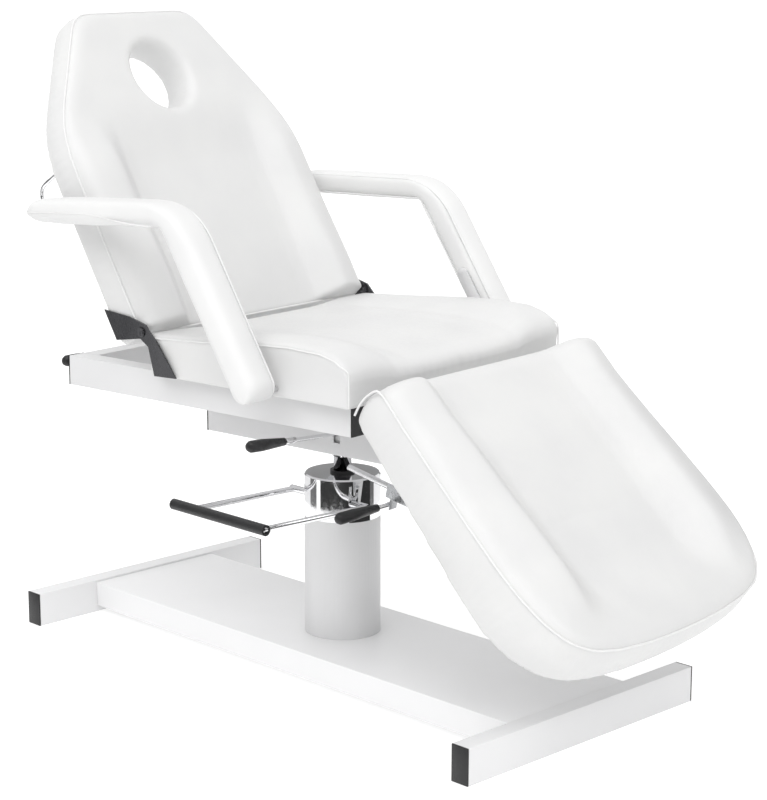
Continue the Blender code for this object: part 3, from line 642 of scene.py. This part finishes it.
# ---- armrests ----
def offset_bend(first, elbow, tip, thick_low, thick_high, side, reach):
    """One long edge of an armrest's side view: parallel to its centre line, with an eased corner."""
    into = (elbow - first) / np.linalg.norm(elbow - first)
    out = (tip - elbow) / np.linalg.norm(tip - elbow)
    lower = side * thick_low / 2 * np.array([-into[1], into[0]])
    upper = side * thick_high / 2 * np.array([-out[1], out[0]])
    matrix = np.array([into, -out]).T
    t = np.linalg.solve(matrix, (tip + upper) - (first + lower))
    corner = first + lower + into * t[0]
    start, finish = corner - into * reach, corner + out * reach
    begin, end = first + lower, tip + upper
    run = [begin + (start - begin) * t ** 2 for t in np.linspace(0, 1, 34, endpoint=False)]
    run += [(1 - t) ** 2 * start + 2 * t * (1 - t) * corner + t * t * finish for t in np.linspace(0, 1, 17)]
    run += [finish + (end - finish) * (1 - (1 - t) ** 2) for t in np.linspace(0, 1, 40)[1:]]
    return np.array(run)


ARM_X = 0.385
ARM_FOOT = (-0.113, 0.643)
ARM_OVERHANG = 0.0285
ARM_ELBOW = {"right": (0.070, 0.942), "left": (0.070, 0.922)}
ARM_TIP = {"right": (0.447, 0.920), "left": (0.447, 0.912)}
ARM_THICK = (0.063, 0.051)
ARM_WIDE = 0.0745
ARM_SIDES = 44


def build_arm(hand, turn):
    """A bent pad of rounded sections along its side view, in (y, z), with piping on its inner side."""
    body = "arm_" + hand
    elbow = np.array(ARM_ELBOW[hand])
    tip = np.array(ARM_TIP[hand])
    first = np.array(ARM_FOOT)
    into = (elbow - first) / np.linalg.norm(elbow - first)
    first = first - into * ARM_OVERHANG
    upper = offset_bend(first, elbow, tip, *ARM_THICK, 1, 0.085)
    lower = offset_bend(first, elbow, tip, *ARM_THICK, -1, 0.007)
    middle = (upper + lower) / 2
    along = np.concatenate([[0], np.cumsum(np.linalg.norm(np.diff(middle, axis=0), axis=1))])
    to_tip = along[-1] - along
    start = roll(along + 0.0004, 0.029)
    taper = 0.88 + 0.12 * smoothstep(0.0, 0.12, to_tip)
    pinch = taper * roll(to_tip + 0.0003, 0.032)
    half = (upper - lower) / 2 * (start * pinch)[:, None]
    middle = middle + (upper - lower) / 2 * ((pinch - 1) * 0.22)[:, None]
    wide = ARM_WIDE * (0.90 + 0.10 * roll(along, 0.020)) * (0.70 + 0.30 * roll(to_tip + 0.002, 0.030))
    flat = smoothstep(0.33, 0.42, along)
    centre_x = turn * ARM_X
    bm = bmesh.new()
    rings = []
    for k in range(len(middle)):
        ring = []
        for j in range(ARM_SIDES):
            angle = 2 * math.pi * j / ARM_SIDES
            u, v = math.cos(angle), math.sin(angle)
            power = 2.7 + 0.9 * flat[k] if v > 0 else 2.7 - 0.6 * flat[k]
            u = math.copysign(abs(u) ** (2 / 3.0), u)
            v = math.copysign(abs(v) ** (2 / power), v)
            place = middle[k] + half[k] * v
            ring.append(bm.verts.new((centre_x + turn * u * wide[k] / 2, place[0], place[1])))
        rings.append(ring)
    for one, other in zip(rings, rings[1:]):
        for j in range(ARM_SIDES):
            m = (j + 1) % ARM_SIDES
            bm.faces.new((one[j], one[m], other[m], other[j]))
    bm.faces.new(rings[0][::-1])
    bm.faces.new(rings[-1])
    bmesh.ops.recalc_face_normals(bm, faces=bm.faces)
    mesh = bpy.data.meshes.new("arm")
    bm.to_mesh(mesh)
    bm.free()
    co = coordinates(mesh)
    co += 0.0011 * field(co, 20, 7 + turn)[:, None] * np.array([0.8, 0.6, 0.8])
    set_coordinates(mesh, co)
    mesh.transform(SEAT)
    pad = make_object(f"armrest_{hand}", mesh, ARM_LIT_LEATHERETTE, body, 80)
    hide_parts(f"arm_pad_{hand}")

    last = len(middle) - 1
    inset = 0.007
    edges = []
    for side in (1, -1):
        edge = []
        for k in range(4, last - 2):
            depth = np.linalg.norm(half[k])
            place = middle[k] + half[k] * side * max(depth - inset, 0) / max(depth, 1e-6)
            inner = centre_x - turn * (wide[k] / 2 - inset * 0.85)
            edge.append(Vector((inner, place[0], place[1])) + COLUMN)
        edges.append(edge)
    tube(f"armrest_{hand}_piping", edges[0] + edges[1][::-1], ARM_PIPING_R, body, closed=True)
    seam = []
    for k in range(50, last - 1):
        drop = 0.05 + 0.75 * smoothstep(62, 50, k)
        place = middle[k] - half[k] * drop
        seam.append(Vector((centre_x + turn * (wide[k] / 2 + 0.0002), place[0], place[1])) + COLUMN)
    tube(f"armrest_{hand}_seam", seam, ARM_SEAM_R, body)


# ---- the slot shield, and the pieces that are finished from their CAD nodes ----
SHIELD_X = -0.0918
SHIELD_SIZE = (0.0012, 0.028, 0.033)


def build_slot_shield():
    """A small plate on the swivel lever's rod that closes the slot in the hub from inside."""
    pivot = JOINTS["swivel_lever_press"]
    bm = bmesh.new()
    place = Matrix.Translation((SHIELD_X, pivot.y, pivot.z))
    bmesh.ops.create_cube(bm, size=1, matrix=place @ Matrix.Diagonal((*SHIELD_SIZE, 1)))
    mesh = bpy.data.meshes.new("slot_shield")
    bm.to_mesh(mesh)
    bm.free()
    paint = MATERIALS["white_paint"]
    make_object("swivel_lever_slot_shield", mesh, paint, "swivel_lever")


build_back()
build_leg()
build_slot_shield()
build_seat()
for hand, turn in (("right", -1), ("left", 1)):
    build_arm(hand, turn)

# The CAD nodes with rounded edges, and the ones a cushion or a pad has replaced.
ROUNDED = {
    "base_front_tube": 0.0035, "base_rear_tube": 0.0035, "rail_left": 0.0025, "rail_right": 0.0025,
    "base_channel": 0.0012, "hub_box": 0.0015,
}
PADS = ("back_cushion", "back_board", "leg_cushion", "leg_board", "seat_cushion", "seat_board",
        "arm_pad_right", "arm_pad_left")
for name in NODES:
    if name not in PADS:
        refine(name, ROUNDED.get(name, 0.0))


# ---- camera, light and floor ----
# The camera's place is from the foot of the column; its turn is azimuth, elevation and lean in degrees.
CAMERA_PLACE = (-3.2505, -2.7745, 1.4562)
CAMERA_TURN = (-50.61, 12.10, 0.147)
CAMERA_LENS = 99.118
FLOOR_SIZE = 80
CARD_R = 1.30
ARC_STEPS = 24
# Cards on an arc round the column: name, first and last angle in degrees, low and high z, tone.
ARC_CARDS = (
    ("dark_screen", -208, -78, 0.002, 0.100, 0.02),
    ("piston_line_one", -190, -176, 0.100, 0.190, 0.03),
    ("piston_line_two", -140, -126, 0.100, 0.190, 0.03),
    ("middle_screen", -208, -78, 0.190, 0.60, 0.02),
    ("piston_line_three", -190, -176, 0.60, 0.90, 0.03),
    ("piston_line_four", -140, -126, 0.60, 0.90, 0.03),
    ("upper_screen", -208, -78, 0.90, 1.30, 0.02),
    ("left_screen", -250, -222, 0.002, 1.30, 0.16),
    ("left_pale_screen", -330, -250, 0.002, 0.50, 0.80),
    ("right_screen", -68, -34, 0.002, 0.16, 0.12),
    ("right_pale_screen", -34, 28, 0.002, 0.16, 0.80),
    ("rod_screen", -72, -8, 0.20, 1.10, 0.04),
)
# Flat cards: name, the two ends in (x, y), low and high z, tone.
# Painted reflections: both flat cards are dark sheets that only reflections see. They stand in for the
# shaded undersides of the leg rest and of the hub as the chrome pump head reflects them.
FLAT_CARDS = (
    ("leg_underside_shade_card", ((-0.55, -0.34), (0.16, -0.26)), 0.23, 0.345, 0.02),
    ("hub_underside_shade_card", ((-0.02, 0.42), (0.40, 0.02)), 0.40, 0.60, 0.42),
)
SURROUND_BASE = 0.40
SURROUND_LIFT = (((1, 0, 0), 0.40), ((0, 1, 0), 0.40), ((0, 0, 1), 0.40))
# Each sun: name, the direction towards it, its angle in radians and its strength.
SUNS = (("key", (-0.60, -0.15, 0.80), 1.0, 1.58), ("fill", (-0.3, -0.9, 0.5), 0.8, 0.60))


def add_camera():
    azimuth, elevation, lean = (math.radians(angle) for angle in CAMERA_TURN)
    level = math.cos(elevation)
    back = Vector((math.sin(azimuth) * level, -math.cos(azimuth) * level, math.sin(elevation)))
    right = Vector((0, 0, 1)).cross(back).normalized()
    up = back.cross(right)
    x = right * math.cos(lean) + up * math.sin(lean)
    y = up * math.cos(lean) - right * math.sin(lean)
    data = bpy.data.cameras.new("camera")
    data.lens = CAMERA_LENS
    data.sensor_width = 36
    camera = bpy.data.objects.new("camera", data)
    bpy.context.scene.collection.objects.link(camera)
    place = Vector(CAMERA_PLACE) + COLUMN
    camera.matrix_world = Matrix.Translation(place) @ Matrix((x, y, back)).transposed().to_4x4()
    bpy.context.scene.camera = camera


def add_floor():
    """A plain pale plane, slightly emissive to stay as light as the photograph's background."""
    size = FLOOR_SIZE
    corners = [(-size, -size, 0), (size, -size, 0), (size, size, 0), (-size, size, 0)]
    mesh = bpy.data.meshes.new("floor")
    mesh.from_pydata(corners, [], [(0, 1, 2, 3)])
    floor = bpy.data.objects.new("floor", mesh)
    bpy.context.scene.collection.objects.link(floor)
    floor.location = (0, 0, -0.0005)
    glow = {"Emission_Color": (1, 1, 1, 1), "Emission_Strength": 0.60}
    mesh.materials.append(Graph("pale_floor", (0.55, 0.55, 0.55), 0.9, **glow).material)


def add_card(name, corners, tone):
    """A card that only reflections see, as a product studio stands round chrome; the two flat cards are
    painted reflections of shade.
    """
    mesh = bpy.data.meshes.new(name)
    count = len(corners) // 2
    mesh.from_pydata(corners, [], [(k, k + 1, count + k + 1, count + k) for k in range(count - 1)])
    card = bpy.data.objects.new(name, mesh)
    bpy.context.scene.collection.objects.link(card)
    mesh.materials.append(Graph(name, (tone, tone, tone), 0.9).material)
    card.visible_camera = False
    card.visible_diffuse = False
    card.visible_shadow = False


def add_cards():
    for name, first, last, low, high, tone in ARC_CARDS:
        angles = [math.radians(first + (last - first) * k / ARC_STEPS) for k in range(ARC_STEPS + 1)]
        arc = [(CARD_R * math.cos(a), CARD_R * math.sin(a) + COLUMN.y) for a in angles]
        add_card(name, [(x, y, z) for z in (low, high) for x, y in arc], tone)
    for name, row, low, high, tone in FLAT_CARDS:
        add_card(name, [(x, y + COLUMN.y, z) for z in (low, high) for x, y in row], tone)


def add_world():
    """A soft white surround, brighter from above and from the far side than from the camera's side."""
    world = bpy.data.worlds.new("world")
    bpy.context.scene.world = world
    world.use_nodes = True
    tree = world.node_tree
    direction = tree.nodes.new("ShaderNodeTexCoord").outputs["Generated"]
    total = None
    for axis, weight in SURROUND_LIFT:
        dot = tree.nodes.new("ShaderNodeVectorMath")
        dot.operation = "DOT_PRODUCT"
        dot.inputs[1].default_value = axis
        tree.links.new(direction, dot.inputs[0])
        part = tree.nodes.new("ShaderNodeMapRange")
        part.inputs["From Min"].default_value = 0
        part.inputs["From Max"].default_value = 1
        part.inputs["To Min"].default_value = 0
        part.inputs["To Max"].default_value = weight
        tree.links.new(dot.outputs["Value"], part.inputs["Value"])
        join = tree.nodes.new("ShaderNodeMath")
        join.inputs[1].default_value = SURROUND_BASE
        tree.links.new(part.outputs["Result"], join.inputs[0])
        if total:
            tree.links.new(total, join.inputs[1])
        total = join.outputs["Value"]
    background = tree.nodes["Background"]
    background.inputs["Color"].default_value = (1, 1, 1, 1)
    tree.links.new(total, background.inputs["Strength"])


def add_sun(name, toward, angle, power):
    data = bpy.data.lights.new(name, "SUN")
    data.angle = angle
    data.energy = power
    lamp = bpy.data.objects.new(name, data)
    bpy.context.scene.collection.objects.link(lamp)
    lamp.rotation_euler = Vector(toward).to_track_quat("Z", "Y").to_euler()


add_camera()
add_floor()
add_cards()
add_world()
for sun in SUNS:
    add_sun(*sun)
bpy.context.scene.view_settings.view_transform = "Standard"
